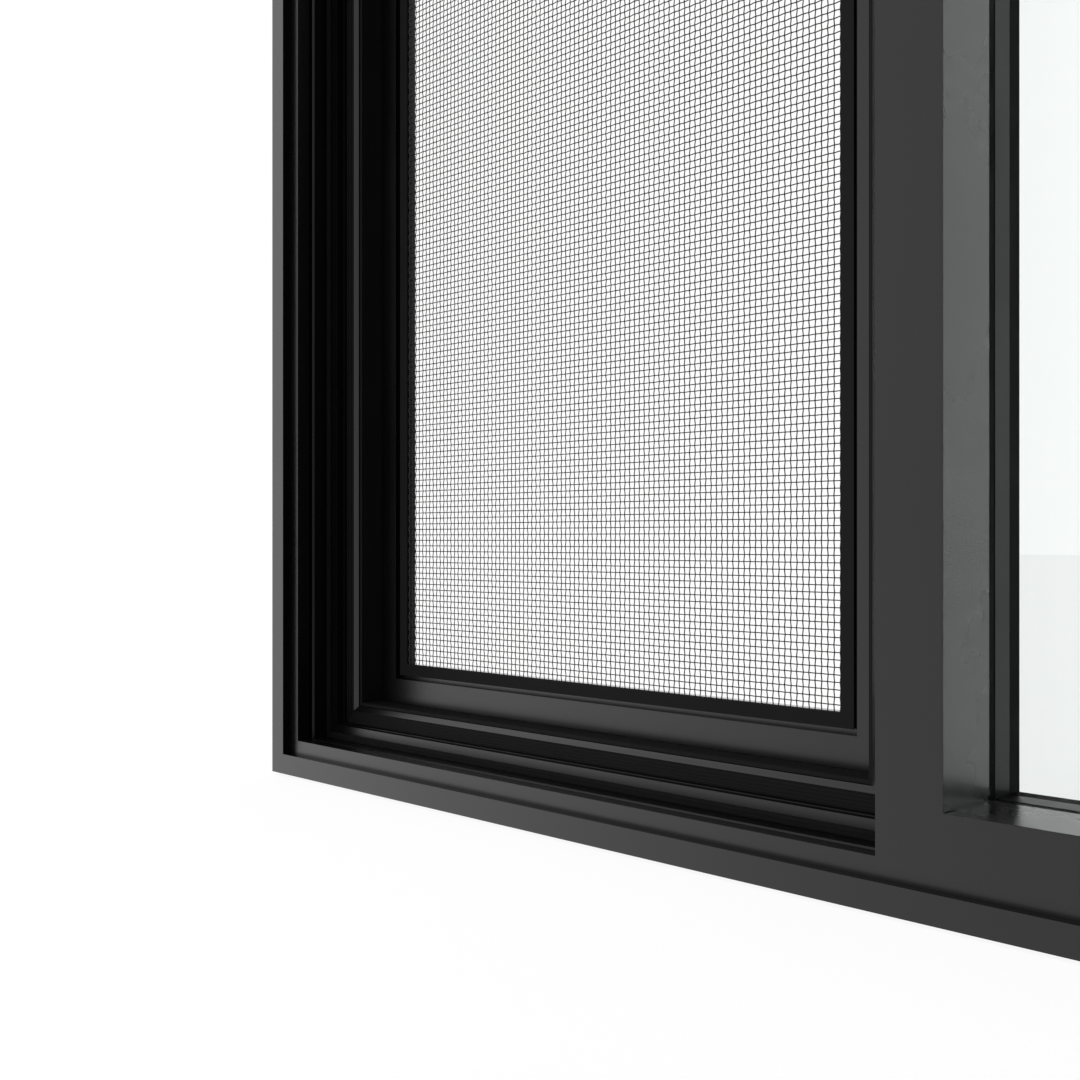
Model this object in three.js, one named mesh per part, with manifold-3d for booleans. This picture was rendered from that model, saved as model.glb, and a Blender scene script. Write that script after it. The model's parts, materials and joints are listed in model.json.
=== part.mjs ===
// Two-bay window: a screened bay on the left, a crank-operated outward-opening
// sash on the right, in one outer frame. Millimetres, +Z up. The room side faces -Y.
import * as THREE from 'three';
import { mergeVertices } from 'three/addons/utils/BufferGeometryUtils.js';
import Module from 'manifold-3d';

const wasm = await Module();
wasm.setup();

// ---------- driving dimensions ----------
const width = 1094;            // overall, along X
const height = 800;            // overall, along Z
const frameDepth = 100;        // overall, along Y

const lipWidth = 15;           // room-side lip around the whole frame
const faceSetBack = 6.6;       // wall face behind the lip
const faceWidth = 25.7;        // inset of the first wall's edge
const slotDepth = 18;          // inset of the drainage slot's floor
const slotFront = 16.8;
const slotBack = 20.3;
const noseWidth = 25.5;        // inset of the channel floor behind the slot
const middleFront = 34;        // seat of the front gasket
const middleStep = 31;
const middleFace = 35.2;
const middleWidth = 36.4;
const noseTwoFront = 41.4;
const noseTwoBack = 42.8;
const noseTwoWidth = 37.3;
const rearSeat = 44.6;         // seat of the rear gasket
const rearStep = 47.7;
const rearFace = 45;
const bayInset = 51.2;         // inset of the screened bay's clear opening
const chamberWall = 3;         // wall around the frame's rear chamber
const chamberInset = 18.3;
const chamberFront = 50;

const mullionBase = 554.7;     // the screened bay's far edge, from the left side
const sashCutInset = 21.3;     // outer frame thickness around the sash bay
const mullionEdge = mullionBase - 20.2;   // the mullion's flat side towards the sash bay

const stopInset = 21.5;        // stop frame's outer edge
const stopWidth = 30.3;
const stopBack = 51.1;
const stopWall = 2.5;
const stopLeft = mullionEdge + 0.2;

const sashInset = 33;          // sash's outer edge, from the outer frame's edge
const sashLegWidth = 6.5;
const sashWidth = 18.8;
const sashFront = 57;
const sashLegBack = 72.4;
const sashBack = 100;
const sashWall = 2;
const glassInset = 9.6;        // glass edge, from the sash's outer edge
const glassFront = 83;
const paneThickness = 4;
const paneGap = 5;
const spacerWidth = 4;
const beadWidth = 11;           // glazing bead's inner edge, from the sash's outer edge

const screenInset = 54.3;      // screen frame's outer edge
const screenFront = 64.2;
const screenBack = 78;
const screenFaceWidth = 18.4;
const screenGroove = 2.9;
const screenWidth = 30.2;
const screenLedge = 68.1;
const screenLedgeBack = 74;
const screenWall = 2;
const meshFront = 67.2;
const meshThickness = 0.6;
const beadThickness = 1;

const sealWidth = 5.6;         // sash seal
const rubberGap = 0.3;         // gap between touching separate pieces
const joint = 0.08;            // hairline gap at mitres and butt joints

const hingeAxis = { x: width - 27, y: frameDepth + 5.5 };
const hingeHeights = [110, height - 150];
const hingeLength = 40;
const knuckleRadius = 5.2;
const pinRadius = 3;
const pinClearance = 0.4;

const armLength = 140;         // pivot to pivot
const armReachY = 22;          // how far the arm leans towards the room when closed
const armPivot = { x: hingeAxis.x - 70, y: 46 };
const armBottom = 24.4;
const armThickness = 2.2;
const linkBottom = 27;
const linkThickness = 2;
const plateHalfWidth = 7;
const bracketBottom = 29.6;
const sectorRadius = 22.5;
const toothDepth = 2.2;

const crankTilt = 30 * Math.PI / 180;     // spindle's rise from level, towards the room
const wormCentre = { x: armPivot.x - 23.5, y: 26, z: 31 };
const wormRadius = 4.5;
const spindleRadius = 4;
const handleReach = 55;

const leverPost = { x: stopLeft + 15.2, z: height - 200 };
const tieBar = { x: mullionEdge + 1.5, thickness: 2.5, y: 78, depth: 16, low: 200, high: height - 100 };
const lockTravel = 22;
const rollerGap = 3.5;         // the sash stile's clearance from the rollers as it swings
const keeperHeights = [300, height - 160];

const plungerColumns = [150, 400];
const plungerRadius = 2.5;
const plungerY = 71;
const plungerRise = 5.2;       // how far the pin stands into the head

const blackPaint = new THREE.MeshStandardMaterial({ color: 0x1b1b1c, roughness: 0.38, metalness: 0.1 });
const rubber = new THREE.MeshStandardMaterial({ color: 0x0b0b0b, roughness: 0.75, metalness: 0 });
const wire = new THREE.MeshStandardMaterial({ color: 0x1f1f20, roughness: 0.5, metalness: 0.3 });
const glass = new THREE.MeshStandardMaterial({ color: 0xe4eef0, roughness: 0.05, metalness: 0 });
const steel = new THREE.MeshStandardMaterial({ color: 0x9c9ea0, roughness: 0.4, metalness: 0.9 });
const aluminium = new THREE.MeshStandardMaterial({ color: 0xb9bcbe, roughness: 0.35, metalness: 0.8 });

const windowPart = new THREE.Group();
windowPart.position.set(-width / 2, -frameDepth / 2, 0);

// ---------- solids ----------
function toManifold(geometry) {
  const bare = geometry.clone();
  bare.deleteAttribute('normal');
  bare.deleteAttribute('uv');
  const merged = mergeVertices(bare, 1e-4);
  return new wasm.Manifold(new wasm.Mesh({
    numProp: 3,
    vertProperties: new Float32Array(merged.attributes.position.array),
    triVerts: new Uint32Array(merged.index.array),
  }));
}

function fromManifold(solid) {
  const mesh = solid.getMesh();
  const geometry = new THREE.BufferGeometry();
  geometry.setAttribute('position', new THREE.BufferAttribute(new Float32Array(mesh.vertProperties), 3));
  geometry.setIndex(new THREE.BufferAttribute(new Uint32Array(mesh.triVerts), 1));
  return geometry;
}

// Turns a mesh whose faces point inwards the right way round.
function faceOutwards(geometry) {
  const indexed = geometry.index ? geometry : mergeVertices(geometry);
  const place = indexed.attributes.position;
  const order = indexed.index.array;
  const [a, b, c] = [new THREE.Vector3(), new THREE.Vector3(), new THREE.Vector3()];
  let volume = 0;
  for (let k = 0; k < order.length; k += 3) {
    a.fromBufferAttribute(place, order[k]);
    b.fromBufferAttribute(place, order[k + 1]);
    c.fromBufferAttribute(place, order[k + 2]);
    volume += a.dot(b.cross(c));
  }
  if (volume < 0) {
    for (let k = 0; k < order.length; k += 3) {
      [order[k + 1], order[k + 2]] = [order[k + 2], order[k + 1]];
    }
  }
  return indexed;
}

function shapeOf(points, holes = []) {
  const shape = new THREE.Shape(points.map(([u, v]) => new THREE.Vector2(u, v)));
  for (const hole of holes) {
    shape.holes.push(new THREE.Path(hole.map(([u, v]) => new THREE.Vector2(u, v))));
  }
  return shape;
}

function rectangle(u0, v0, u1, v1) {
  return [[u0, v0], [u1, v0], [u1, v1], [u0, v1]];
}

function extrude(shape, depth, curveSegments = 16) {
  const geometry = new THREE.ExtrudeGeometry(shape, { depth, bevelEnabled: false, curveSegments });
  geometry.deleteAttribute('normal');
  geometry.deleteAttribute('uv');
  return mergeVertices(geometry, 1e-5);
}

function mapPoints(geometry, move) {
  const place = geometry.attributes.position;
  for (let k = 0; k < place.count; k += 1) {
    const [x, y, z] = move(place.getX(k), place.getY(k), place.getZ(k));
    place.setXYZ(k, x, y, z);
  }
  return faceOutwards(geometry);
}

// One side of a mitred rectangular frame. The profile's points are (inset, depth).
function mitredSide(rect, side, profile, holes = []) {
  const upright = side === 'left' || side === 'right';
  const length = upright ? rect.z1 - rect.z0 : rect.x1 - rect.x0;
  const trim = joint * 0.7;
  const geometry = extrude(shapeOf(profile, holes), length);
  return mapPoints(geometry, (inset, depth, along) => {
    const t = along < length / 2 ? inset + trim : length - inset - trim;
    if (side === 'left') return [rect.x0 + inset, depth, rect.z0 + t];
    if (side === 'right') return [rect.x1 - inset, depth, rect.z0 + t];
    if (side === 'bottom') return [rect.x0 + t, depth, rect.z0 + inset];
    return [rect.x0 + t, depth, rect.z1 - inset];
  });
}

function box(x0, y0, z0, x1, y1, z1) {
  const geometry = new THREE.BoxGeometry(x1 - x0, y1 - y0, z1 - z0);
  geometry.translate((x0 + x1) / 2, (y0 + y1) / 2, (z0 + z1) / 2);
  return geometry;
}

// A rectangular ring between two insets of a rectangle, and two depths.
function ring(rect, insetA, insetB, depthA, depthB) {
  const outer = rectangle(rect.x0 + insetA, rect.z0 + insetA, rect.x1 - insetA, rect.z1 - insetA);
  const inner = rectangle(rect.x0 + insetB, rect.z0 + insetB, rect.x1 - insetB, rect.z1 - insetB);
  const geometry = extrude(shapeOf(outer, [inner]), depthB - depthA);
  return mapPoints(geometry, (x, z, along) => [x, depthA + along, z]);
}

function rod(from, to, radius, segments = 24) {
  const start = new THREE.Vector3(...from);
  const end = new THREE.Vector3(...to);
  const geometry = new THREE.CylinderGeometry(radius, radius, start.distanceTo(end), segments);
  const turn = new THREE.Quaternion().setFromUnitVectors(
    new THREE.Vector3(0, 1, 0), end.clone().sub(start).normalize());
  geometry.applyQuaternion(turn);
  geometry.translate((start.x + end.x) / 2, (start.y + end.y) / 2, (start.z + end.z) / 2);
  return geometry;
}

// A flat plate in the XY plane, standing from bottom to bottom + thickness.
function plate(shape, bottom, thickness) {
  const geometry = extrude(shape, thickness, 20);
  geometry.translate(0, 0, bottom);
  return geometry;
}

function join(...pieces) {
  return fromManifold(pieces.map(toManifold).reduce((whole, piece) => whole.add(piece)));
}

function cut(piece, ...tools) {
  return fromManifold(tools.map(toManifold).reduce((whole, tool) => whole.subtract(tool), toManifold(piece)));
}

function addPiece(name, geometry, material) {
  const clean = new THREE.BufferGeometry();
  clean.setAttribute('position', geometry.attributes.position);
  clean.setIndex(geometry.index);
  clean.computeVertexNormals();
  const mesh = new THREE.Mesh(clean, material);
  mesh.name = name;
  windowPart.add(mesh);
}

// ---------- outer frame and mullion ----------
const frameRect = { x0: 0, x1: width, z0: 0, z1: height };
const bayRect = { x0: 0, x1: mullionBase, z0: 0, z1: height };

const wallPoints = [
  [faceWidth, faceSetBack], [faceWidth, slotFront],
  [slotDepth, slotFront], [slotDepth, slotBack],
  [noseWidth - 1.1, slotBack], [noseWidth, slotBack + 1.4],
  [noseWidth, middleFront], [middleStep, middleFront], [middleStep, middleFace],
  [middleWidth, middleFace], [middleWidth, noseTwoFront],
  [noseTwoWidth - 0.6, noseTwoFront], [noseTwoWidth, noseTwoBack],
  [noseTwoWidth, rearSeat], [rearStep, rearSeat], [rearStep, noseTwoBack],
  [bayInset, rearFace], [bayInset, frameDepth],
];
const frameProfile = [[0, 0], [lipWidth, 0], [lipWidth, faceSetBack], ...wallPoints, [0, frameDepth]];
const chamber = rectangle(chamberWall, chamberFront, chamberInset, frameDepth - chamberWall);

const sashBayCut = box(
  mullionEdge, -1, sashCutInset, width - sashCutInset, frameDepth + 1, height - sashCutInset);

function frameSide(side) {
  return cut(mitredSide(frameRect, side, frameProfile, [chamber]), sashBayCut);
}

function holesAt(z0, z1, radius) {
  return plungerColumns.map((x) => rod([x, plungerY, z0], [x, plungerY, z1], radius));
}

// The sill and head lose their gasket ridge where the mullion stands on them.
const ridgeCuts = [
  box(mullionBase - rearStep, noseTwoBack - 1, rearStep - 0.1, mullionEdge + 1, rearSeat, bayInset + 1),
  box(mullionBase - rearStep, noseTwoBack - 1, height - bayInset - 1,
    mullionEdge + 1, rearSeat, height - rearStep + 0.1),
];
const pinHole = plungerRadius + pinClearance + 0.3;
addPiece('frame_left_jamb', frameSide('left'), blackPaint);
addPiece('frame_right_jamb', frameSide('right'), blackPaint);
addPiece('frame_sill', cut(
  frameSide('bottom'), ridgeCuts[0], ...holesAt(bayInset - 7, bayInset + 1, pinHole)), blackPaint);
addPiece('frame_head', cut(
  frameSide('top'), ridgeCuts[1],
  ...holesAt(height - bayInset - 1, height - bayInset + 8, pinHole)), blackPaint);

// The mullion carries the same walls as the jambs on its left, and is coped over sill and head.
function makeMullion() {
  const flat = mullionBase - mullionEdge + joint;
  const profile = [[flat, faceSetBack], ...wallPoints.filter(([inset]) => inset > slotDepth), [flat, frameDepth]];
  const hollow = rectangle(flat + chamberWall, chamberFront, bayInset - chamberWall, frameDepth - chamberWall);
  const bar = mapPoints(
    extrude(shapeOf(profile, [hollow]), height), (inset, depth, along) => [mullionBase - inset, depth, along]);
  const filled = [[-5, -5], [lipWidth, -5], [lipWidth, faceSetBack],
    ...wallPoints.filter(([inset, depth]) => inset > slotDepth && depth !== rearSeat),
    [bayInset, frameDepth + 5], [-5, frameDepth + 5]];
  const tools = [];
  for (const side of ['bottom', 'top']) {
    for (const [rise, forward] of [[joint, 0], [joint, joint], [0, joint]]) {
      const geometry = mapPoints(extrude(shapeOf(filled), width), (inset, depth, along) => (
        side === 'bottom' ? [along, depth - forward, inset + rise]
          : [along, depth - forward, height - inset - rise]));
      tools.push(geometry);
    }
  }
  return cut(bar, ...tools);
}
addPiece('mullion', makeMullion(), blackPaint);

// Corner keys: L-shaped blocks that hold the mitres together inside the frame's chamber.
const keyArm = 60;
function cornerKey(atRight, atTop) {
  const near = chamberWall + rubberGap;
  const far = chamberInset - rubberGap;
  const outline = [[near, near], [near + keyArm, near], [near + keyArm, far], [far, far],
    [far, near + keyArm], [near, near + keyArm]];
  const depthA = chamberFront + 12;
  const depthB = frameDepth - chamberWall - 12;
  return mapPoints(extrude(shapeOf(outline), depthB - depthA), (u, v, along) => [
    atRight ? width - u : u, depthA + along, atTop ? height - v : v]);
}
addPiece('corner_key_bottom_left', cornerKey(false, false), aluminium);
addPiece('corner_key_bottom_right', cornerKey(true, false), aluminium);
addPiece('corner_key_top_left', cornerKey(false, true), aluminium);
addPiece('corner_key_top_right', cornerKey(true, true), aluminium);

// ---------- gaskets of the screened bay ----------
addPiece('front_gasket', ring(
  bayRect, noseWidth + rubberGap, middleStep - rubberGap, middleFront - 2, middleFront - rubberGap), rubber);
addPiece('rear_gasket', ring(
  bayRect, noseTwoWidth + rubberGap, rearStep - rubberGap, noseTwoBack + 0.2, rearSeat - rubberGap), rubber);
addPiece('screen_seal', ring(
  bayRect, bayInset + rubberGap, screenInset - rubberGap, rearFace + 1,
  plungerY - plungerRadius - 0.6), rubber);

// ---------- stop frame of the sash bay ----------
const stopRect = { x0: stopLeft, x1: width - stopInset, z0: stopInset, z1: height - stopInset };
const stopProfile = rectangle(0, faceSetBack, stopWidth, stopBack);
const stopHollow = rectangle(stopWall, faceSetBack + stopWall, stopWidth - stopWall, stopBack - stopWall);
const axis = [0, -Math.cos(crankTilt), Math.sin(crankTilt)];
function onSpindle(s) {
  return [wormCentre.x, wormCentre.y + axis[1] * s, wormCentre.z + axis[2] * s];
}
const armEnd = {
  x: armPivot.x - Math.sqrt(armLength ** 2 - armReachY ** 2),
  y: armPivot.y - armReachY,
};
const slotTop = bracketBottom + 2;
const armSlot = box(
  armEnd.x - 16, stopBack - stopWall - 1, stopInset + stopWall,
  armPivot.x + sectorRadius + 5, stopBack + 1, slotTop);
const spindleHole = rod(onSpindle(14), onSpindle(34), spindleRadius + 1);
const leverHole = rod([leverPost.x, 0, leverPost.z], [leverPost.x, 12, leverPost.z], 4.5);
const lugSlot = box(
  tieBar.x + tieBar.thickness - 0.4, stopBack - stopWall - 1, leverPost.z - lockTravel - 8,
  tieBar.x + tieBar.thickness + 4.2, stopBack + 1, leverPost.z + 14);

function stopSide(side) {
  return mitredSide(stopRect, side, stopProfile, [stopHollow]);
}
addPiece('stop_frame_left', cut(stopSide('left'), leverHole, lugSlot), blackPaint);
addPiece('stop_frame_right', stopSide('right'), blackPaint);
addPiece('stop_frame_bottom', cut(stopSide('bottom'), armSlot, spindleHole), blackPaint);
addPiece('stop_frame_top', stopSide('top'), blackPaint);
addPiece('sash_seal', ring(
  stopRect, stopWidth - sealWidth, stopWidth - 0.2, stopBack + rubberGap, sashFront - 0.5), rubber);

// ---------- insect screen ----------
const screenRect = {
  x0: screenInset, x1: mullionBase - screenInset, z0: screenInset, z1: height - screenInset,
};
const grooveEnd = screenFaceWidth + screenGroove;
const screenProfile = [
  [0, screenFront], [screenFaceWidth, screenFront], [screenFaceWidth, screenFront + 5.8],
  [grooveEnd, screenFront + 5.8], [grooveEnd, screenLedge],
  [screenWidth, screenLedge], [screenWidth, screenLedgeBack], [grooveEnd + 2.4, screenLedgeBack],
  [grooveEnd + 2.4, screenBack], [0, screenBack],
];
const screenHollow = rectangle(
  screenWall, screenFront + screenWall, screenFaceWidth - screenWall, screenBack - screenWall);
function screenSide(side) {
  return mitredSide(screenRect, side, screenProfile, [screenHollow]);
}
const plungerTravel = 6;
const knobHeight = height - screenInset - 7.2;
const knobStem = 1.8;
const stemSlots = plungerColumns.map((x) => box(
  x - knobStem - 0.4, screenFront - 1, knobHeight - plungerTravel - knobStem - 0.4,
  x + knobStem + 0.4, screenFront + screenWall + 1, knobHeight + knobStem + 0.4));
addPiece('screen_stile_left', screenSide('left'), blackPaint);
addPiece('screen_stile_right', screenSide('right'), blackPaint);
addPiece('screen_rail_bottom', cut(
  screenSide('bottom'), ...holesAt(screenInset - 1, screenInset + screenWall + 1, pinHole)), blackPaint);
addPiece('screen_rail_top', cut(
  screenSide('top'), ...stemSlots,
  ...holesAt(height - screenInset - screenWall - 1, height - screenInset + 1, plungerRadius + pinClearance)),
blackPaint);
addPiece('screen_bead', ring(
  screenRect, grooveEnd + rubberGap, screenWidth, meshFront - rubberGap - beadThickness,
  meshFront - rubberGap), rubber);
addPiece('screen_mesh', box(
  screenRect.x0 + grooveEnd + 1, meshFront, screenRect.z0 + grooveEnd + 1,
  screenRect.x1 - grooveEnd - 1, meshFront + meshThickness, screenRect.z1 - grooveEnd - 1), wire);

plungerColumns.forEach((x, k) => {
  const top = height - bayInset + plungerRise;
  addPiece(`screen_plunger_${k + 1}`, join(
    rod([x, plungerY, knobHeight - knobStem], [x, plungerY, top], plungerRadius),
    rod([x, screenFront - 6, knobHeight], [x, plungerY, knobHeight], knobStem, 16),
    rod([x, screenFront - 6, knobHeight], [x, screenFront - 1, knobHeight], 5)), steel);
  addPiece(`screen_foot_${k + 1}`, rod(
    [x, plungerY, bayInset - 5], [x, plungerY, screenInset + screenWall + 4], plungerRadius), steel);
});

// ---------- sash ----------
const sashRect = {
  x0: stopLeft + stopWidth - sashWidth, x1: width - sashInset, z0: sashInset, z1: height - sashInset,
};
const sashProfile = [
  [0, sashFront], [sashWidth, sashFront], [sashWidth, sashLegBack],
  [sashLegWidth, sashLegBack], [sashLegWidth, sashBack], [0, sashBack],
];
const sashHollow = rectangle(sashWall, sashFront + sashWall, sashWidth - sashWall, sashLegBack - sashWall);
function sashSide(side) {
  return mitredSide(sashRect, side, sashProfile, [sashHollow]);
}
addPiece('sash_stile_lock', sashSide('left'), blackPaint);
addPiece('sash_stile_hinge', sashSide('right'), blackPaint);
addPiece('sash_rail_bottom', sashSide('bottom'), blackPaint);
addPiece('sash_rail_top', sashSide('top'), blackPaint);

const glassBack = glassFront + 2 * paneThickness + paneGap;
function pane(front) {
  return box(
    sashRect.x0 + glassInset, front, sashRect.z0 + glassInset,
    sashRect.x1 - glassInset, front + paneThickness, sashRect.z1 - glassInset);
}
addPiece('glass_inner_pane', pane(glassFront), glass);
addPiece('glass_outer_pane', pane(glassFront + paneThickness + paneGap), glass);
addPiece('glass_spacer', ring(
  sashRect, glassInset + 0.5, glassInset + 0.5 + spacerWidth, glassFront + paneThickness + 0.2,
  glassFront + paneThickness + paneGap - 0.2), rubber);
addPiece('glass_gasket_inner', ring(
  sashRect, sashLegWidth + 0.5, sashWidth, sashLegBack + rubberGap, glassFront - rubberGap), rubber);
addPiece('glass_gasket_outer', ring(
  sashRect, sashLegWidth + 0.5, beadWidth, glassBack + rubberGap, glassBack + 1.4), rubber);
addPiece('glazing_bead', ring(
  sashRect, sashLegWidth + rubberGap, beadWidth, glassBack + 1.7, sashBack - rubberGap), blackPaint);
[0.25, 0.75].forEach((share, k) => {
  const middle = sashRect.x0 + share * (sashRect.x1 - sashRect.x0);
  addPiece(`setting_block_${k + 1}`, box(
    middle - 30, glassFront + 0.5, sashRect.z0 + sashLegWidth + rubberGap,
    middle + 30, glassBack - 0.5, sashRect.z0 + glassInset - rubberGap), rubber);
});

// ---------- hinges ----------
hingeHeights.forEach((base, k) => {
  const { x, y } = hingeAxis;
  const half = hingeLength / 2;
  const bore = rod([x, y, base - 1], [x, y, base + hingeLength + 1], pinRadius + pinClearance);
  const frameLeaf = join(
    box(x, frameDepth + rubberGap, base, width - 4, frameDepth + 2.8, base + half - 0.25),
    box(x, frameDepth + rubberGap, base, x + 4, y, base + half - 0.25),
    rod([x, y, base], [x, y, base + half - 0.25], knuckleRadius));
  const sashLeaf = join(
    box(sashRect.x1 - 17, sashBack + rubberGap, base + half + 0.25, x, sashBack + 2.8, base + hingeLength),
    box(x - 4, sashBack + rubberGap, base + half + 0.25, x, y, base + hingeLength),
    rod([x, y, base + half + 0.25], [x, y, base + hingeLength], knuckleRadius));
  addPiece(`hinge_frame_leaf_${k + 1}`, cut(frameLeaf, bore), steel);
  addPiece(`hinge_sash_leaf_${k + 1}`, cut(sashLeaf, bore), steel);
  addPiece(`hinge_pin_${k + 1}`, rod([x, y, base - 2], [x, y, base + hingeLength + 2], pinRadius), steel);
});

// ---------- crank operator ----------
// The arm and the sash turn together: arm, link and sash make a parallelogram on the frame.
function slotPlate(from, to, half) {
  const turn = Math.atan2(to.y - from.y, to.x - from.x);
  const shape = new THREE.Shape();
  shape.absarc(to.x, to.y, half, turn - Math.PI / 2, turn + Math.PI / 2, false);
  shape.absarc(from.x, from.y, half, turn + Math.PI / 2, turn + 1.5 * Math.PI, false);
  return shape;
}

function toothedSector(centre, radius, start, end, teeth) {
  const points = [[centre.x, centre.y]];
  for (let k = 0; k <= teeth * 4; k += 1) {
    const angle = start + (end - start) * k / (teeth * 4);
    const reach = k % 4 < 2 ? radius : radius - toothDepth;
    points.push([centre.x + reach * Math.cos(angle), centre.y + reach * Math.sin(angle)]);
  }
  return shapeOf(points);
}

const sectorStart = 205 * Math.PI / 180;
const sectorEnd = 318 * Math.PI / 180;
const studRadius = 4;
const linkPin = 3;
const armPlate = join(
  plate(slotPlate(armPivot, armEnd, plateHalfWidth), armBottom, armThickness),
  plate(toothedSector(armPivot, sectorRadius, sectorStart, sectorEnd, 13), armBottom, armThickness),
  rod([armEnd.x, armEnd.y, armBottom], [armEnd.x, armEnd.y, linkBottom + linkThickness + 0.4], linkPin));
addPiece('operator_arm', cut(armPlate, rod(
  [armPivot.x, armPivot.y, armBottom - 1], [armPivot.x, armPivot.y, armBottom + armThickness + 1],
  studRadius + pinClearance)), steel);

const sashPin = {
  x: armEnd.x + hingeAxis.x - armPivot.x,
  y: armEnd.y + hingeAxis.y - armPivot.y,
};
addPiece('operator_link', cut(
  plate(slotPlate(armEnd, sashPin, plateHalfWidth), linkBottom, linkThickness),
  ...[armEnd, sashPin].map(({ x, y }) => rod(
    [x, y, linkBottom - 1], [x, y, linkBottom + linkThickness + 1], linkPin + pinClearance))), steel);
addPiece('sash_bracket', join(
  box(sashPin.x - 30, sashPin.y - 10, bracketBottom, sashPin.x + 30, sashPin.y + 10, sashInset - rubberGap),
  rod([sashPin.x, sashPin.y, linkBottom - 0.2], [sashPin.x, sashPin.y, bracketBottom + 1], linkPin)), steel);

const baseBottom = 30.2;
addPiece('operator_base', cut(join(
  box(wormCentre.x - 12, faceSetBack + stopWall + 1.4, baseBottom,
    armPivot.x + 17, stopBack - stopWall - 1.1, stopInset + stopWidth - stopWall - 2.3),
  rod([armPivot.x, armPivot.y, stopInset + stopWall + 0.2], [armPivot.x, armPivot.y, baseBottom + 1],
    studRadius)), rod(onSpindle(-14), onSpindle(40), wormRadius + 0.7)), steel);

const coverProfile = [
  [faceSetBack - rubberGap, 24], [2, 24], [-4, 28], [-6, 36], [-3, 46.5], [2, 50.5],
  [faceSetBack - rubberGap, 50.5],
];
const coverHalf = 34;
const cover = mapPoints(extrude(shapeOf(coverProfile), 2 * coverHalf), (depth, z, along) => [
  wormCentre.x - coverHalf + along, depth, z]);
addPiece('operator_cover', cut(
  join(cover, cut(rod(onSpindle(18), onSpindle(38), 9), box(
    wormCentre.x - 20, faceSetBack - rubberGap, 0, wormCentre.x + 20, 60, 90))),
  rod(onSpindle(10), onSpindle(42), spindleRadius + 0.6)), blackPaint);

const wormRings = [-4.4, -1.6, 1.2, 4].map((s) => rod(onSpindle(s), onSpindle(s + 1.2), wormRadius));
addPiece('crank_spindle', join(
  rod(onSpindle(-5.6), onSpindle(52), spindleRadius - 0.6), ...wormRings), steel);

function handleShape() {
  const shape = new THREE.Shape();
  shape.absarc(0, 0, 8, -Math.PI / 2, Math.PI / 2, false);
  shape.absarc(-handleReach, 0, 5.5, Math.PI / 2, 1.5 * Math.PI, false);
  return shape;
}
function inSpindleFrame(geometry) {
  const turn = new THREE.Matrix4().makeBasis(
    new THREE.Vector3(1, 0, 0),
    new THREE.Vector3(0, Math.sin(crankTilt), Math.cos(crankTilt)),
    new THREE.Vector3(...axis));
  geometry.applyMatrix4(turn);
  geometry.translate(wormCentre.x, wormCentre.y, wormCentre.z);
  return geometry;
}
const handlePlate = extrude(handleShape(), 6, 12);
handlePlate.translate(0, 0, 46);
addPiece('crank_handle', cut(join(
  inSpindleFrame(handlePlate),
  inSpindleFrame(rod([0, 0, 39], [0, 0, 54], 8)),
  inSpindleFrame(rod([-handleReach, 0, 48], [-handleReach, 0, 74], 2.5))),
inSpindleFrame(rod([0, 0, 30], [0, 0, 52.2], spindleRadius - 0.3))), blackPaint);

const knobOutline = [[2.9, 53], [7, 53], [8.2, 56], [7.4, 64], [8.8, 71], [7.5, 76], [5, 77.5],
  [0, 77.5], [0, 75], [2.9, 75]];
const knobGeometry = new THREE.LatheGeometry(
  knobOutline.concat([knobOutline[0]]).map(([r, h]) => new THREE.Vector2(r, h)), 24);
knobGeometry.rotateX(Math.PI / 2);
knobGeometry.translate(-handleReach, 0, 0);
addPiece('crank_knob', faceOutwards(fromManifold(toManifold(faceOutwards(
  mergeVertices(stripped(inSpindleFrame(knobGeometry)), 1e-4))))), blackPaint);

function stripped(geometry) {
  geometry.deleteAttribute('normal');
  geometry.deleteAttribute('uv');
  return geometry;
}

// ---------- sash lock ----------
addPiece('lock_base', cut(
  box(leverPost.x - 9, faceSetBack - rubberGap - 3.7, leverPost.z - 35,
    leverPost.x + 9, faceSetBack - rubberGap, leverPost.z + 40), leverHole), blackPaint);
addPiece('lock_lever', join(
  rod([leverPost.x, -5, leverPost.z], [leverPost.x, 2.2, leverPost.z], 8.5),
  box(leverPost.x - 5.5, -9, leverPost.z, leverPost.x + 5.5, -3, leverPost.z + 78),
  rod([leverPost.x, 0, leverPost.z], [leverPost.x, 22, leverPost.z], 3.8)), blackPaint);
addPiece('lock_gearbox', cut(
  box(leverPost.x - 7, 12, leverPost.z - 34, leverPost.x + 9, 44, leverPost.z + 34),
  rod([leverPost.x, 5, leverPost.z], [leverPost.x, 23, leverPost.z], 4.3)), steel);
const rollerY = tieBar.y + 8.3;
const barFace = tieBar.x + tieBar.thickness;
const rollers = keeperHeights.map((z) => rod(
  [barFace - 1, rollerY, z + lockTravel], [sashRect.x0 - rollerGap, rollerY, z + lockTravel], 3));
addPiece('tie_bar', join(
  box(tieBar.x, tieBar.y, tieBar.low, barFace, tieBar.y + tieBar.depth, tieBar.high),
  box(barFace - 0.1, stopBack - 8, leverPost.z, barFace + 3.4, tieBar.y + 4, leverPost.z + 6),
  ...rollers), steel);
keeperHeights.forEach((z, k) => {
  addPiece(`lock_keeper_${k + 1}`, box(
    barFace + 2.3, rollerY - 7.4, z - 8, sashRect.x0 - rubberGap, rollerY - 4, z + 8), steel);
});

export default windowPart;
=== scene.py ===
# %% [markdown]
# A two-bay window in satin black: an insect screen on the left and a sash with a hand crank on
# the right. The solids of the window come ready made. This lesson gives them their edges and
# finishes, and models what solids leave out: the woven wire, the ribbed seals and the screws.

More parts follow.
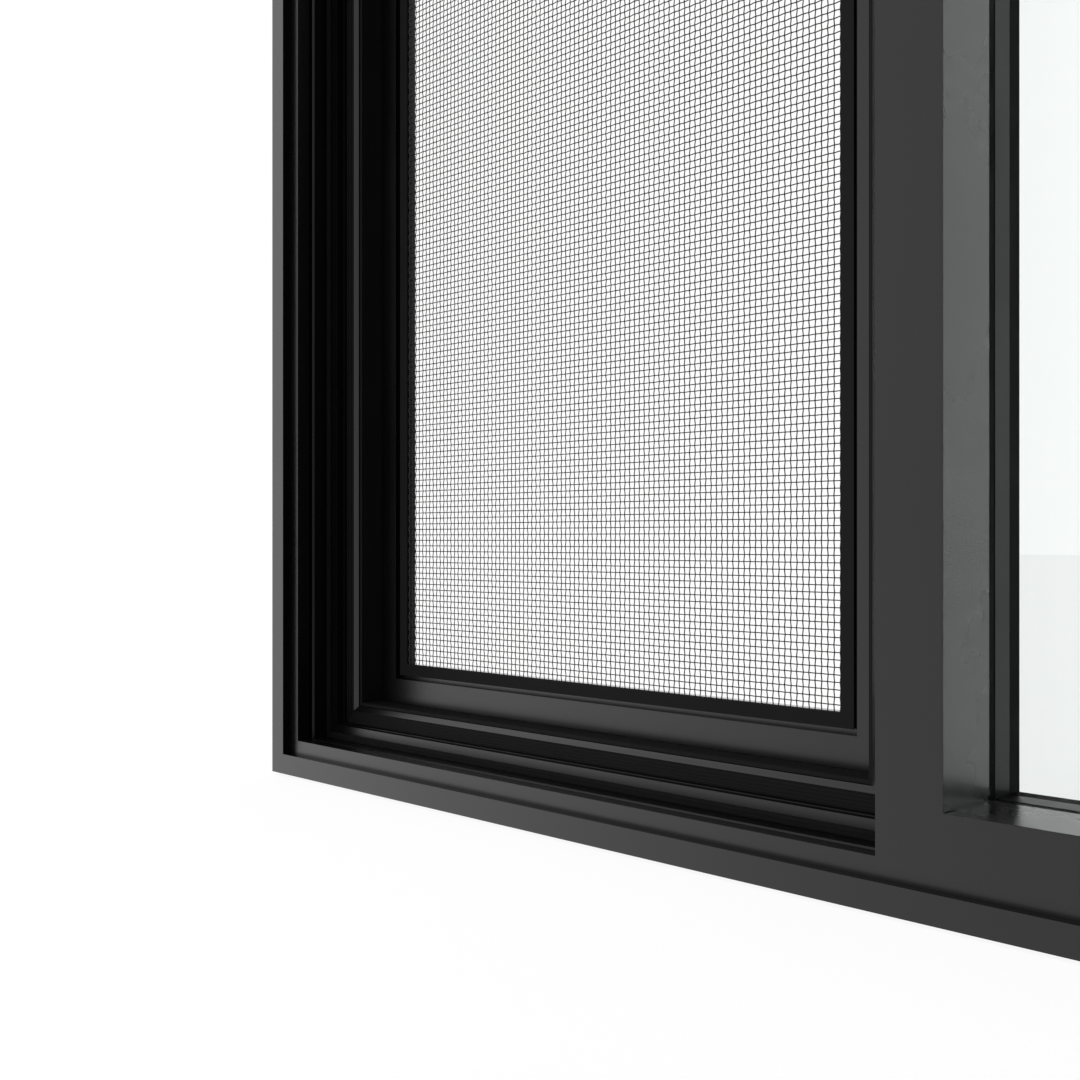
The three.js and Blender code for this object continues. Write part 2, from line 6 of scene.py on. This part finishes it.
# %% Load the frame
import json
import math
import bpy
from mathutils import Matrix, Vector


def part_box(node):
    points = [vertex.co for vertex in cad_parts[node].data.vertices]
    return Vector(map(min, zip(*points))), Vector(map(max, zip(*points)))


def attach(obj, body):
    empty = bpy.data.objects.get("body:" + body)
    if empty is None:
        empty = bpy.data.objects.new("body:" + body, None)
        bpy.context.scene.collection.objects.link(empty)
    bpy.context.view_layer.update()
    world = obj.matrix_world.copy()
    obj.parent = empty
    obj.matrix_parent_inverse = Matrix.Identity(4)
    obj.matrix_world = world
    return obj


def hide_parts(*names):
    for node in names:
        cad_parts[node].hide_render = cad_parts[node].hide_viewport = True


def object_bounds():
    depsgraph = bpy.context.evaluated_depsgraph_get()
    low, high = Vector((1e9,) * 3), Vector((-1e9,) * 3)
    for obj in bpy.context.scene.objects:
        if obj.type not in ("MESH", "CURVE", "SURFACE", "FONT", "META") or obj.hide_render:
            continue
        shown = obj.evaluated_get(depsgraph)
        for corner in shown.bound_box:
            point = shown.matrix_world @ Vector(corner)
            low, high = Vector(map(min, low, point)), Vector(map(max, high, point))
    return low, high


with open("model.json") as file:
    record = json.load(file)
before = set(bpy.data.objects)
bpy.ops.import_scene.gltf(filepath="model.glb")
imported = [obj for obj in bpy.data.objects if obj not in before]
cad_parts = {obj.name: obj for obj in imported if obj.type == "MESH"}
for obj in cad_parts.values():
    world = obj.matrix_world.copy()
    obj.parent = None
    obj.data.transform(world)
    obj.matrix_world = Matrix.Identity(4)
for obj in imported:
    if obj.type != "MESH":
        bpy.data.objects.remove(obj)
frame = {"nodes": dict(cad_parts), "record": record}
solid_low, solid_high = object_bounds()
print("size of the solids, m:", [round(v, 3) for v in solid_high - solid_low])
MM = 0.001
scene = bpy.context.scene

# %% [markdown]
# The camera stands in the room, low and to the right, and looks level at the lower left corner.
# A level camera keeps every upright edge of the window upright.

# %% Camera
VIEW_TURN = math.radians(46.233)
LENS = 43.456
CAMERA_PLACE = (0.3269, -0.5995, 0.1793)
camera_data = bpy.data.cameras.new("room_camera")
camera_data.lens = LENS
camera_data.sensor_width = 36.0
camera_data.clip_start = 0.01
camera = bpy.data.objects.new("room_camera", camera_data)
camera.location = CAMERA_PLACE
camera.rotation_euler = (math.pi / 2, 0.0, VIEW_TURN)
scene.collection.objects.link(camera)
scene.camera = camera

# %% [markdown]
# Black paint shows almost nothing but what it mirrors, so the light is a surround: white in front
# and behind, brighter to the left, and dark to the right. The faces that look right then go
# black and the steps of the frame stand apart. What the camera sees directly stays white.

# %% Surround
def chain(nodes, links, operation, *values):
    step = nodes.new("ShaderNodeMath")
    step.operation = operation
    for k, value in enumerate(values):
        if isinstance(value, (int, float)):
            step.inputs[k].default_value = value
        else:
            links.new(value, step.inputs[k])
    return step.outputs["Value"]


def fade(nodes, links, value, start, end, low, high):
    ramp = nodes.new("ShaderNodeMapRange")
    ramp.interpolation_type = "SMOOTHSTEP"
    ramp.inputs["From Min"].default_value = start
    ramp.inputs["From Max"].default_value = end
    ramp.inputs["To Min"].default_value = low
    ramp.inputs["To Max"].default_value = high
    links.new(value, ramp.inputs["Value"])
    return ramp.outputs["Result"]


WHITE = 1.02
GLASS_LIFT = 0.09   # makes up for what two panes hold back
world = bpy.data.worlds.new("studio_surround")
world.use_nodes = True
nodes, links = world.node_tree.nodes, world.node_tree.links
direction = nodes.new("ShaderNodeTexCoord")
split = nodes.new("ShaderNodeSeparateXYZ")
path = nodes.new("ShaderNodeLightPath")
links.new(direction.outputs["Generated"], split.inputs["Vector"])
right_dark = fade(nodes, links, split.outputs["X"], start=0.58, end=0.76, low=1.0, high=0.02)
left_bright = fade(nodes, links, split.outputs["X"], start=-0.86, end=-0.46, low=1.75, high=0.98)
behind = fade(nodes, links, split.outputs["Y"], start=0.2, end=0.8, low=1.0, high=1.4)
sides = chain(nodes, links, "MULTIPLY", right_dark, left_bright)
level = chain(nodes, links, "MULTIPLY", sides, behind)
seen = chain(nodes, links, "MAXIMUM",
             path.outputs["Is Camera Ray"], path.outputs["Is Transmission Ray"])
lamp = chain(nodes, links, "MULTIPLY", level, chain(nodes, links, "SUBTRACT", 1.0, seen))
white = chain(nodes, links, "MULTIPLY_ADD", path.outputs["Is Transmission Ray"], GLASS_LIFT, WHITE)
strength = chain(nodes, links, "ADD", lamp, chain(nodes, links, "MULTIPLY", seen, white))
links.new(strength, nodes["Background"].inputs["Strength"])
nodes["Background"].inputs["Color"].default_value = (1.0, 1.0, 1.0, 1.0)
scene.world = world
scene.view_settings.view_transform = "Standard"

# %% [markdown]
# The floor is a pale sheet under the sill. It only shows itself: it throws no light upwards, so
# the surround alone shades the paint.

# %% Floor
FLOOR_SIZE = 30.0
FLOOR_DROP = 2 * MM
FLOOR_GLOW = 0.92
bpy.ops.object.select_all(action="DESELECT")
bpy.ops.mesh.primitive_plane_add(size=FLOOR_SIZE, location=(0.0, 0.0, -FLOOR_DROP))
floor = bpy.context.active_object
floor.name = "studio_floor"
floor.visible_glossy = False
floor.visible_diffuse = False
floor_paint = bpy.data.materials.new("pale_floor")
floor_paint.use_nodes = True
floor_shader = floor_paint.node_tree.nodes["Principled BSDF"]
floor_shader.inputs["Base Color"].default_value = (0.1, 0.1, 0.1, 1.0)
floor_shader.inputs["Roughness"].default_value = 0.9
floor_shader.inputs["Specular IOR Level"].default_value = 0.0
floor_shader.inputs["Emission Color"].default_value = (1.0, 1.0, 1.0, 1.0)
floor_shader.inputs["Emission Strength"].default_value = FLOOR_GLOW
floor.data.materials.append(floor_paint)

# %% [markdown]
# Powder coat, rubber and plated steel all share a fine uneven grain. It is built once, as a
# group that puts out a mask and a normal, and each finish sets its own size and depth.

# %% The shared grain
def make_grain_group():
    group = bpy.data.node_groups.new("surface_grain", "ShaderNodeTree")
    for name, value in (("Scale", 900.0), ("Depth", 0.05), ("Patch Scale", 9.0)):
        socket = group.interface.new_socket(name, in_out="INPUT", socket_type="NodeSocketFloat")
        socket.default_value = value
    group.interface.new_socket("Mask", in_out="OUTPUT", socket_type="NodeSocketFloat")
    group.interface.new_socket("Normal", in_out="OUTPUT", socket_type="NodeSocketVector")
    nodes, links = group.nodes, group.links
    given = nodes.new("NodeGroupInput")
    out = nodes.new("NodeGroupOutput")
    place = nodes.new("ShaderNodeTexCoord")
    fine = nodes.new("ShaderNodeTexNoise")
    patch = nodes.new("ShaderNodeTexNoise")
    bump = nodes.new("ShaderNodeBump")
    fine.inputs["Detail"].default_value = 3.0
    patch.inputs["Detail"].default_value = 4.0
    bump.inputs["Distance"].default_value = 0.2 * MM
    links.new(place.outputs["Object"], fine.inputs["Vector"])
    links.new(place.outputs["Object"], patch.inputs["Vector"])
    links.new(given.outputs["Scale"], fine.inputs["Scale"])
    links.new(given.outputs["Patch Scale"], patch.inputs["Scale"])
    links.new(given.outputs["Depth"], bump.inputs["Strength"])
    links.new(fine.outputs["Fac"], bump.inputs["Height"])
    links.new(patch.outputs["Fac"], out.inputs["Mask"])
    links.new(bump.outputs["Normal"], out.inputs["Normal"])
    return group


grain_group = make_grain_group()

# %% [markdown]
# A finish is a Principled shader with the grain placed in it. Colour and roughness drift a
# little from patch to patch, as on a real coat, so no face is one flat tone.

# %% Finishes
def grey(value):
    return (value, value, value)


def make_finish(name, dark, light, rough, metal=0.0, scale=900.0, depth=0.05, patch=9.0, ior=1.5,
                gloss=0.5):
    material = bpy.data.materials.new(name)
    material.use_nodes = True
    nodes, links = material.node_tree.nodes, material.node_tree.links
    shader = nodes["Principled BSDF"]
    shader.inputs["Metallic"].default_value = metal
    shader.inputs["IOR"].default_value = ior
    shader.inputs["Specular IOR Level"].default_value = gloss
    grain = nodes.new("ShaderNodeGroup")
    grain.node_tree = grain_group
    grain.inputs["Scale"].default_value = scale
    grain.inputs["Depth"].default_value = depth
    grain.inputs["Patch Scale"].default_value = patch
    tone = nodes.new("ShaderNodeMix")
    tone.data_type = "RGBA"
    tone.inputs[6].default_value = (*dark, 1.0)
    tone.inputs[7].default_value = (*light, 1.0)
    drift = nodes.new("ShaderNodeMapRange")
    drift.inputs["From Min"].default_value = 0.3
    drift.inputs["From Max"].default_value = 0.7
    drift.inputs["To Min"].default_value = rough[0]
    drift.inputs["To Max"].default_value = rough[1]
    links.new(grain.outputs["Mask"], tone.inputs[0])
    links.new(grain.outputs["Mask"], drift.inputs["Value"])
    links.new(tone.outputs[2], shader.inputs["Base Color"])
    links.new(drift.outputs["Result"], shader.inputs["Roughness"])
    links.new(grain.outputs["Normal"], shader.inputs["Normal"])
    return material


COAT_TONES = (grey(0.0022), grey(0.0034))
black_coat = make_finish("satin_black_coat", *COAT_TONES, (0.24, 0.30),
                         scale=1400.0, depth=0.02, patch=7.0)
# painted shade: the sash has the same coat as the frame, given a lower IOR and more roughness so its
# faces reflect less and read darker, standing in for the shade deep in the frame
painted_shade_sash_coat = make_finish("sash_black_coat_painted_shade", *COAT_TONES, (0.36, 0.44),
                        scale=1400.0, depth=0.02, patch=7.0, ior=1.28)
# painted light: the stop frame has the same coat as the frame, given a higher specular level so its
# faces reflect more and read brighter
painted_light_stop_coat = make_finish("stop_black_coat_painted_light", *COAT_TONES, (0.25, 0.30),
                        scale=1400.0, depth=0.008, patch=7.0, gloss=0.78)
black_rubber = make_finish("seal_rubber", grey(0.0065), grey(0.0105), (0.6, 0.7),
                           scale=2200.0, depth=0.2, patch=30.0, gloss=0.08)
wire_coat = make_finish("wire_coat", grey(0.002), grey(0.004), (0.3, 0.42),
                        scale=3000.0, depth=0.05, patch=60.0)
plated_steel = make_finish("plated_steel", (0.45, 0.46, 0.47), (0.6, 0.61, 0.62),
                           (0.24, 0.38), metal=1.0, scale=500.0, depth=0.08, patch=25.0)
mill_aluminium = make_finish("mill_aluminium", (0.6, 0.61, 0.62), (0.72, 0.73, 0.74),
                             (0.3, 0.42), metal=1.0, scale=1500.0, depth=0.06, patch=12.0)

clear_glass = bpy.data.materials.new("clear_glass")
clear_glass.use_nodes = True
glass_shader = clear_glass.node_tree.nodes["Principled BSDF"]
glass_shader.inputs["Base Color"].default_value = (0.97, 0.985, 0.98, 1.0)
glass_shader.inputs["Roughness"].default_value = 0.0
glass_shader.inputs["IOR"].default_value = 1.45
glass_shader.inputs["Transmission Weight"].default_value = 1.0

FINISHES = {"coat": black_coat, "seal": black_rubber, "screen_wire": wire_coat,
            "steel": plated_steel, "aluminium": mill_aluminium, "glass": clear_glass}
node_slot = {part["node"]: part["material_slot"] for part in frame["record"]["subparts"]}
# sash pieces take the copy of the black coat that paints shade, stop pieces the copy that paints light
COATS = {"sash_": painted_shade_sash_coat, "stop_": painted_light_stop_coat}
for name, piece in frame["nodes"].items():
    finish = FINISHES[node_slot[name]]
    if node_slot[name] == "coat":
        finish = COATS.get(name[:5], black_coat)
    for place in piece.material_slots:
        place.material = finish
print("finished", len(node_slot), "solids")

# %% [markdown]
# Extruded metal never ends in a perfectly sharp edge, and the thin bright line along a black
# profile is its rounded edge. A solid's faces are loose triangles, so a Weld modifier joins
# them first, and a narrow Bevel then rounds what is sharper than 35 degrees.

# %% Rounded edges on the solids
COAT_ROUND = 0.25 * MM
EDGE_ROUND = {"coat": COAT_ROUND, "steel": 0.3 * MM, "aluminium": 0.3 * MM}
SOFT_HARDWARE = {"crank_handle": 1.6 * MM, "crank_knob": 0.6 * MM, "lock_lever": 1.3 * MM,
                 "operator_cover": 1.2 * MM, "lock_base": 1.0 * MM}
SHARP = math.radians(35)


def round_edges(piece, width, segments=2):
    bevel = piece.modifiers.new("round_edges", "BEVEL")
    bevel.width = width
    bevel.segments = segments
    bevel.limit_method = "ANGLE"
    bevel.angle_limit = SHARP
    return bevel


for name, piece in frame["nodes"].items():
    width = SOFT_HARDWARE.get(name, EDGE_ROUND.get(node_slot[name]))
    if width is None:
        continue
    weld = piece.modifiers.new("join_triangles", "WELD")
    weld.merge_threshold = 0.01 * MM
    bevel = round_edges(piece, width, segments=3 if name in SOFT_HARDWARE else 2)
    bevel.harden_normals = True

# %% [markdown]
# Five helpers keep the modelling steps short. They deselect everything, select the faces that
# pass a test, repeat a mesh in a row, leave a finished piece's object at the origin with its
# place in its mesh, and keep wide flat faces flat.

# %% Modelling helpers
def deselect():
    if bpy.context.mode != "OBJECT":
        bpy.ops.object.mode_set(mode="OBJECT")
    bpy.ops.object.select_all(action="DESELECT")


def select_faces(piece, test):
    bpy.ops.object.mode_set(mode="OBJECT")
    for vertex in piece.data.vertices:
        vertex.select = False
    for edge in piece.data.edges:
        edge.select = False
    for face in piece.data.polygons:
        face.select = test(face)
    bpy.ops.object.mode_set(mode="EDIT")
    bpy.ops.mesh.select_mode(type="FACE")


def repeat_row(piece, count, offset, merge=0.0):
    row = piece.modifiers.new("row", "ARRAY")
    row.count = count
    row.use_relative_offset = False
    row.use_constant_offset = True
    row.constant_offset_displace = offset
    if merge:
        row.use_merge_vertices = True
        row.merge_threshold = merge
    bpy.ops.object.modifier_apply(modifier=row.name)


def settle(piece, name, material, body, smooth=30):
    deselect()
    piece.select_set(True)
    bpy.context.view_layer.objects.active = piece
    bpy.ops.object.transform_apply(location=True, rotation=True, scale=True)
    if smooth:
        bpy.ops.object.shade_smooth_by_angle(angle=math.radians(smooth))
    piece.name = name
    piece.data.materials.clear()
    piece.data.materials.append(material)
    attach(piece, body)
    return piece


def flatten_faces(piece):
    # a wide flat face keeps its own normal, so only its narrow rounded edge is shaded as round
    weigh = piece.modifiers.new("flat_faces", "WEIGHTED_NORMAL")
    weigh.keep_sharp = True
    weigh.weight = 100
    deselect()
    piece.select_set(True)
    bpy.context.view_layer.objects.active = piece
    bpy.ops.object.modifier_apply(modifier=weigh.name)


# %% [markdown]
# The insect screen is a plain weave of coated wire: each wire passes over one and under the
# next. A pattern on a flat sheet would look dead close up, so the wires are real. A thin
# cylinder is chained from one piece per crossing, its rings are moved forward and back in turn,
# and an Array modifier repeats the pair of neighbouring wires over the whole opening.

# %% Woven wire
mesh_low, mesh_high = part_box("screen_mesh")
PITCH = 4.13 * MM
WIRE_RADIUS = 0.35 * MM
SWAY = 0.34 * MM
WIRE_SIDES = 6


def make_wire(length, crossings, up_first):
    step = length / crossings
    deselect()
    bpy.ops.mesh.primitive_cylinder_add(
        vertices=WIRE_SIDES, radius=WIRE_RADIUS, depth=step, end_fill_type="NOTHING")
    wire = bpy.context.active_object
    repeat_row(wire, crossings, (0.0, 0.0, step), merge=WIRE_RADIUS / 100)
    bpy.ops.object.mode_set(mode="EDIT")
    bpy.ops.mesh.select_all(action="SELECT")
    bpy.ops.mesh.fill_holes(sides=WIRE_SIDES)
    bpy.ops.object.mode_set(mode="OBJECT")
    for vertex in wire.data.vertices:
        ring = round(vertex.co.z / step + 0.5)
        vertex.co.z = ring * step - length / 2
        vertex.co.y += SWAY if (ring % 2 == 0) == up_first else -SWAY
    return wire


def weave(name, length, crossings, count, along_x):
    pair = []
    for k in range(2):
        wire = make_wire(length, crossings, up_first=(k == 0) != along_x)
        if along_x:
            wire.rotation_euler = (0.0, math.pi / 2, 0.0)
            wire.location = (mesh_middle.x, mesh_middle.y, mesh_start.z + k * PITCH)
        else:
            wire.location = (mesh_start.x + k * PITCH, mesh_middle.y, mesh_middle.z)
        pair.append(wire)
    deselect()
    for wire in pair:
        wire.select_set(True)
    bpy.context.view_layer.objects.active = pair[0]
    bpy.ops.object.join()
    piece = bpy.context.active_object
    bpy.ops.object.transform_apply(location=True, rotation=True, scale=True)
    repeat_row(piece, count // 2, (0.0, 0.0, 2 * PITCH) if along_x else (2 * PITCH, 0.0, 0.0))
    return settle(piece, name, wire_coat, "frame", smooth=80)


mesh_middle = (mesh_low + mesh_high) / 2
columns = 2 * int((mesh_high.x - mesh_low.x) / PITCH / 2)
rows = 2 * int((mesh_high.z - mesh_low.z) / PITCH / 2)
mesh_start = Vector((mesh_middle.x - (columns - 1) * PITCH / 2, mesh_middle.y,
                     mesh_middle.z - (rows - 1) * PITCH / 2))
upright_wires = weave("screen_upright_wires", (rows - 1) * PITCH, rows - 1, columns, False)
level_wires = weave("screen_level_wires", (columns - 1) * PITCH, columns - 1, rows, True)
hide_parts("screen_mesh")
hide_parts("screen_mesh")
print("screen:", columns, "by", rows, "wires,", len(upright_wires.data.polygons), "faces upright")

# %% [markdown]
# The outer frame and the screen's frame are coated after their corners are joined, so no mitre
# shows on them. The four sides are copied, the cut faces at the corners are deleted, and the
# open ends are then merged. An edge bevel on the joined ring runs round its corners.

# %% Rings without corner lines
CORNER_GAP = 0.13 * MM


def one_ring(name, sides):
    deselect()
    copies = []
    for side in sides:
        source = frame["nodes"][side]
        copy = bpy.data.objects.new(side + "_copy", source.data.copy())
        copy.matrix_world = source.matrix_world
        scene.collection.objects.link(copy)
        copy.select_set(True)
        copies.append(copy)
    bpy.context.view_layer.objects.active = copies[0]
    bpy.ops.object.join()
    ring = bpy.context.active_object
    bpy.ops.object.transform_apply(location=True, rotation=True, scale=True)
    select_faces(ring, lambda face: abs(face.normal.x) > 0.6 and abs(face.normal.z) > 0.6)
    bpy.ops.mesh.delete(type="FACE")
    bpy.ops.mesh.select_all(action="SELECT")
    bpy.ops.mesh.remove_doubles(threshold=CORNER_GAP)
    bpy.ops.mesh.select_all(action="SELECT")
    bpy.ops.mesh.dissolve_limited(angle_limit=math.radians(1.0))
    bpy.ops.object.mode_set(mode="OBJECT")
    bevel = round_edges(ring, COAT_ROUND)
    bpy.ops.object.modifier_apply(modifier=bevel.name)
    settle(ring, name, black_coat, "frame")
    flatten_faces(ring)
    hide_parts(*sides)
    return ring


outer_ring = one_ring(
    "outer_frame_ring", ("frame_left_jamb", "frame_right_jamb", "frame_sill", "frame_head"))
screen_ring = one_ring(
    "screen_frame_ring",
    ("screen_stile_left", "screen_stile_right", "screen_rail_bottom", "screen_rail_top"))
print("rings:", len(outer_ring.data.polygons), len(screen_ring.data.polygons), "faces")

# %% [markdown]
# The faces of the mullion, the stop frame and the first step of the frame lie in one plane, and
# one coat of paint runs over all of them. It is a thin sheet with a hole for each bay: a plane
# is cut along the holes' edges by bisect, the two middles are deleted, and Solidify thickens it.

# %% The coat on the front plane
sill_low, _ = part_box("frame_sill")
_, stop_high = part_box("stop_frame_bottom")
stop_side_low, stop_side_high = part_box("stop_frame_left")
mullion_low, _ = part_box("mullion")
LIP = 15.0 * MM
COAT_STAND = 0.22 * MM
STEP_INSET = 25.7 * MM
MULLION_START = 529.0 * MM
STOP_INSET = 21.5 * MM
FRAME_HEIGHT = 800.0 * MM
frame_left, frame_right = solid_low.x, solid_high.x
frame_top = sill_low.z + FRAME_HEIGHT
stop_width = stop_side_high.x - stop_side_low.x
cuts_x = (frame_left + STEP_INSET, frame_left + MULLION_START,
          stop_side_high.x, frame_right - stop_width - STOP_INSET)
cuts_z = (STEP_INSET, frame_top - STEP_INSET, stop_high.z, frame_top - stop_high.z)
deselect()
bpy.ops.mesh.primitive_plane_add(size=1.0, location=(0.0, mullion_low.y, frame_top / 2),
                                 rotation=(math.pi / 2, 0.0, 0.0))
coat_face = bpy.context.active_object
coat_face.scale = (frame_right - frame_left - 2 * LIP, frame_top - 2 * LIP, 1.0)
bpy.ops.object.transform_apply(location=True, rotation=True, scale=True)
bpy.ops.object.mode_set(mode="EDIT")
for x in cuts_x:
    bpy.ops.mesh.select_all(action="SELECT")
    bpy.ops.mesh.bisect(plane_co=(x, 0.0, 0.0), plane_no=(1.0, 0.0, 0.0))
for z in cuts_z:
    bpy.ops.mesh.select_all(action="SELECT")
    bpy.ops.mesh.bisect(plane_co=(0.0, 0.0, z), plane_no=(0.0, 0.0, 1.0))


def in_a_bay(face):
    x, z = face.center.x, face.center.z
    return (cuts_x[0] < x < cuts_x[1] and cuts_z[0] < z < cuts_z[1]) or \
        (cuts_x[2] < x < cuts_x[3] and cuts_z[2] < z < cuts_z[3])


select_faces(coat_face, in_a_bay)
bpy.ops.mesh.delete(type="FACE")
bpy.ops.mesh.select_all(action="SELECT")
bpy.ops.mesh.dissolve_limited(angle_limit=math.radians(1.0))
bpy.ops.object.mode_set(mode="OBJECT")
body = coat_face.modifiers.new("body", "SOLIDIFY")
body.thickness = COAT_STAND
body.offset = 1.0
bpy.ops.object.modifier_apply(modifier=body.name)
rim = coat_face.modifiers.new("rim", "BEVEL")
rim.width = 0.1 * MM
rim.segments = 2
rim.limit_method = "ANGLE"
bpy.ops.object.modifier_apply(modifier=rim.name)
settle(coat_face, "front_plane_coat", black_coat, "frame")
flatten_faces(coat_face)
print("coat face:", [round(v, 4) for v in coat_face.dimensions], len(coat_face.data.polygons), "faces")

# %% [markdown]
# The seals in the deep frame are extruded rubber with fine ribs. A plane of the seal's outer
# size is inset again and again, which draws the ribs with proper mitred corners, and every
# other band is then raised. The middle is deleted, and Solidify gives the strip a back.

# %% Ribbed seals
RIB_RISE = 0.5 * MM
SEAL_BACK = 0.5 * MM


def make_ribbed_seal(name, node, ribs, width):
    low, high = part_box(node)
    size = high - low
    middle = (low + high) / 2
    deselect()
    bpy.ops.mesh.primitive_plane_add(size=1.0, location=middle, rotation=(math.pi / 2, 0.0, 0.0))
    seal = bpy.context.active_object
    seal.scale = (size.x, size.z, 1.0)
    bpy.ops.object.transform_apply(location=False, rotation=False, scale=True)
    bands = 2 * ribs + 1
    bpy.ops.object.mode_set(mode="EDIT")
    bpy.ops.mesh.select_all(action="SELECT")
    for _ in range(bands):
        bpy.ops.mesh.inset(thickness=width / bands, depth=0.0)
    bpy.ops.mesh.delete(type="FACE")
    bpy.ops.object.mode_set(mode="OBJECT")
    # a band's number is how many insets lie between its outermost corner and the edge
    half_x, half_y = size.x / 2, size.z / 2

    def band_of(face):
        corners = [seal.data.vertices[i].co for i in face.vertices]
        edge = min(min(half_x - abs(corner.x), half_y - abs(corner.y)) for corner in corners)
        return round(edge * bands / width)

    select_faces(seal, lambda face: band_of(face) % 2 == 1)
    bpy.ops.mesh.extrude_region_move(TRANSFORM_OT_translate={"value": (0.0, -RIB_RISE, 0.0)})
    bpy.ops.object.mode_set(mode="OBJECT")
    wall = seal.modifiers.new("back", "SOLIDIFY")
    wall.thickness = SEAL_BACK
    wall.offset = -1.0
    bpy.ops.object.modifier_apply(modifier=wall.name)
    settle(seal, name, black_rubber, "frame", smooth=0)
    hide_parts(node)
    return seal


front_seal = make_ribbed_seal("front_ribbed_seal", "front_gasket", ribs=2, width=4.9 * MM)
rear_seal = make_ribbed_seal("rear_ribbed_seal", "rear_gasket", ribs=4, width=9.8 * MM)
print("ribbed seals:", len(front_seal.data.polygons), len(rear_seal.data.polygons), "faces")

# %% [markdown]
# Each hinge leaf and the lock's plate is held by two screws. A head is a low cylinder: one inset
# raises its top a little, the next two sink a round recess into its middle.

# %% Screw heads
SCREW_RADIUS = 2.3 * MM
SCREW_RISE = 0.5 * MM
LEAF_THICKNESS = 2.5 * MM
LEAF_SHARES = (0.28, 0.72)
LOCK_SCREW_INSET = 9 * MM


def make_screw(name, place, towards, body, finish):
    deselect()
    bpy.ops.mesh.primitive_cylinder_add(vertices=24, radius=SCREW_RADIUS, depth=SCREW_RISE)
    screw = bpy.context.active_object
    select_faces(screw, lambda face: face.normal.z > 0.9)
    bpy.ops.mesh.inset(thickness=0.35 * MM, depth=0.15 * MM)
    bpy.ops.mesh.inset(thickness=1.1 * MM, depth=0.0)
    bpy.ops.mesh.inset(thickness=0.12 * MM, depth=-0.3 * MM)
    bpy.ops.object.mode_set(mode="OBJECT")
    turn = Vector((0.0, 0.0, 1.0)).rotation_difference(Vector(towards))
    screw.rotation_euler = turn.to_euler()
    screw.location = place
    return settle(screw, name, finish, body)


def screw_leaf(side, k):
    low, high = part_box(f"hinge_{side}_leaf_{k}")
    x = high.x - 8 * MM if side == "frame" else low.x + 6.5 * MM
    face_y = low.y + LEAF_THICKNESS
    for n, share in enumerate(LEAF_SHARES):
        z = low.z + share * (high.z - low.z)
        make_screw(f"hinge_{side}_screw_{k}_{n + 1}", (x, face_y + SCREW_RISE / 2, z),
                   (0.0, 1.0, 0.0), side, plated_steel)


for k in (1, 2):
    screw_leaf("frame", k)
    screw_leaf("sash", k)
low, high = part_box("lock_base")
screw_y = low.y - SCREW_RISE / 2 + 0.05 * MM
for n, z in enumerate((low.z + LOCK_SCREW_INSET, high.z - LOCK_SCREW_INSET)):
    make_screw(f"lock_screw_{n + 1}", ((low.x + high.x) / 2, screw_y, z),
               (0.0, -1.0, 0.0), "frame", black_coat)
